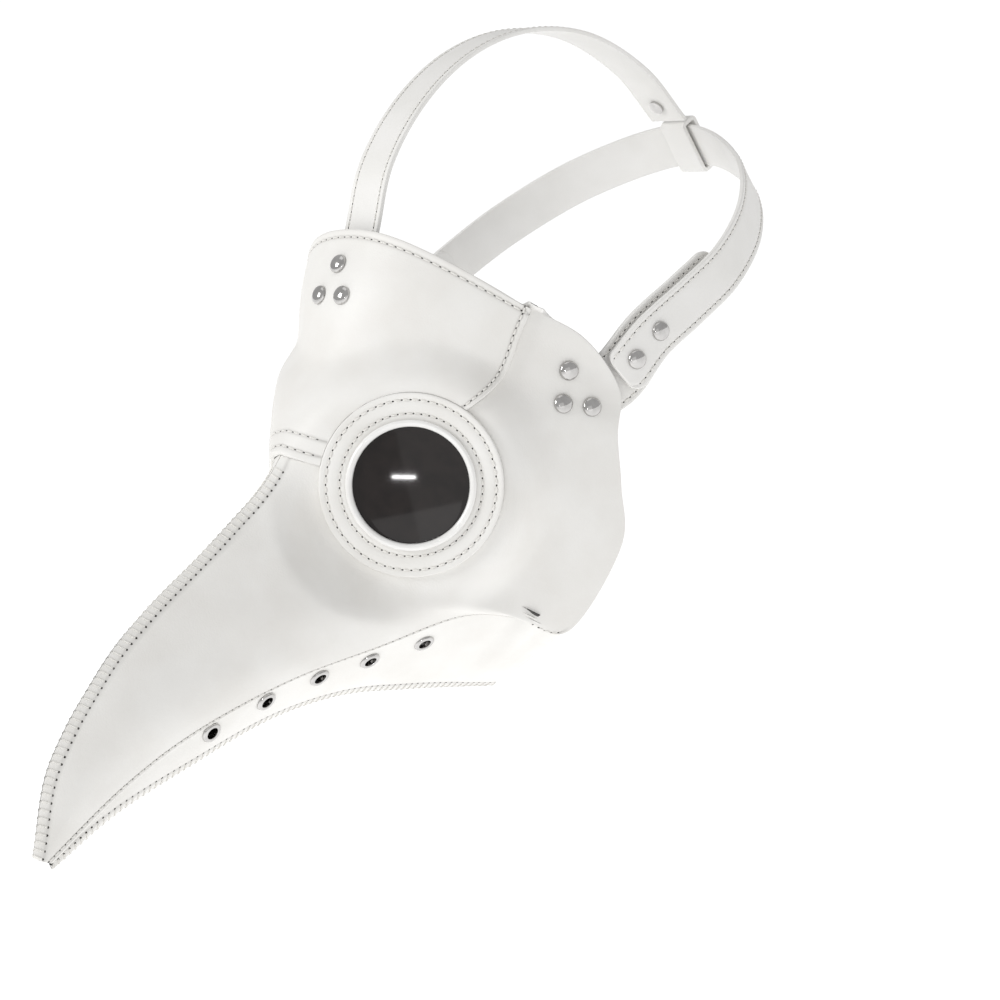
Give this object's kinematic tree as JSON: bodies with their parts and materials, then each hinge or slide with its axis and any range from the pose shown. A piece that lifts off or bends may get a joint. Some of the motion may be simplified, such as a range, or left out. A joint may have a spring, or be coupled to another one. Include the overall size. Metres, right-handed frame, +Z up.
{
  "type": "plague doctor mask",
  "caption": "Beaked leather mask with round dark eye lenses, vent eyelets under the beak, and a snap-fastened strap harness.",
  "frame": {"origin": "the point midway between the wearer's pupils, where the head mount is", "axes": "+Z up along the wearer's upright head, -Y forward along the beak, +X to the wearer's left"},
  "size_m": [0.171, 0.4145, 0.2541],
  "materials": {
    "panel_leather": "matte",
    "strap_leather": "matte",
    "eye_rim": "satin",
    "dark_lens": "gloss",
    "nickel": "polished"
  },
  "bodies": {
    "mask": {"forehead_panel": "panel_leather", "side_panel_left": "panel_leather", "side_panel_right": "panel_leather", "bottom_panel_left": "panel_leather", "bottom_panel_right": "panel_leather", "eye_ring_left": "panel_leather", "eye_ring_right": "panel_leather", "eye_bezel_left": "eye_rim", "eye_bezel_right": "eye_rim", "lens_left": "dark_lens", "lens_right": "dark_lens", "eye_clamp_left": "eye_rim", "eye_clamp_right": "eye_rim", "forehead_rivet_1": "nickel", "forehead_rivet_2": "nickel", "forehead_rivet_3": "nickel", "temple_rivet_left_1": "nickel", "temple_rivet_right_1": "nickel", "temple_rivet_left_2": "nickel", "temple_rivet_right_2": "nickel", "temple_rivet_left_3": "nickel", "temple_rivet_right_3": "nickel", "vent_left_1": "nickel", "vent_right_1": "nickel", "vent_left_2": "nickel", "vent_right_2": "nickel", "vent_left_3": "nickel", "vent_right_3": "nickel", "vent_left_4": "nickel", "vent_right_4": "nickel", "vent_left_5": "nickel", "vent_right_5": "nickel", "strap_tab_left": "strap_leather", "strap_tab_right": "strap_leather", "snap_stud_left_1": "nickel", "snap_stud_right_1": "nickel", "snap_stud_left_2": "nickel", "snap_stud_right_2": "nickel", "back_strap": "strap_leather", "top_strap": "strap_leather"},
    "left_strap_end": {"strap_end_left": "strap_leather", "snap_cap_left_1": "nickel", "snap_cap_left_2": "nickel", "snap_socket_left_1": "nickel", "snap_socket_left_2": "nickel"},
    "right_strap_end": {"strap_end_right": "strap_leather", "snap_cap_right_1": "nickel", "snap_cap_right_2": "nickel", "snap_socket_right_1": "nickel", "snap_socket_right_2": "nickel"},
    "sliding_loop": {"top_strap_loop": "strap_leather", "top_strap_tail": "strap_leather", "loop_rivet": "nickel"}
  },
  "joints": [
    {"name": "left_strap_peel", "type": "hinge", "parent": "mask", "child": "left_strap_end", "pos_m": [0.08343, 0.11154, 0.04507], "axis": [-0.0106, -0.3513, 0.9362], "range_deg": [0, 70]},
    {"name": "right_strap_peel", "type": "hinge", "parent": "mask", "child": "right_strap_end", "pos_m": [-0.08343, 0.11154, 0.04507], "axis": [-0.0106, 0.3513, -0.9362], "range_deg": [0, 70]},
    {"name": "top_loop_slide", "type": "slide", "parent": "mask", "child": "sliding_loop", "axis": [1, 0, 0], "range_m": [-0.003, 0.003]}
  ]
}
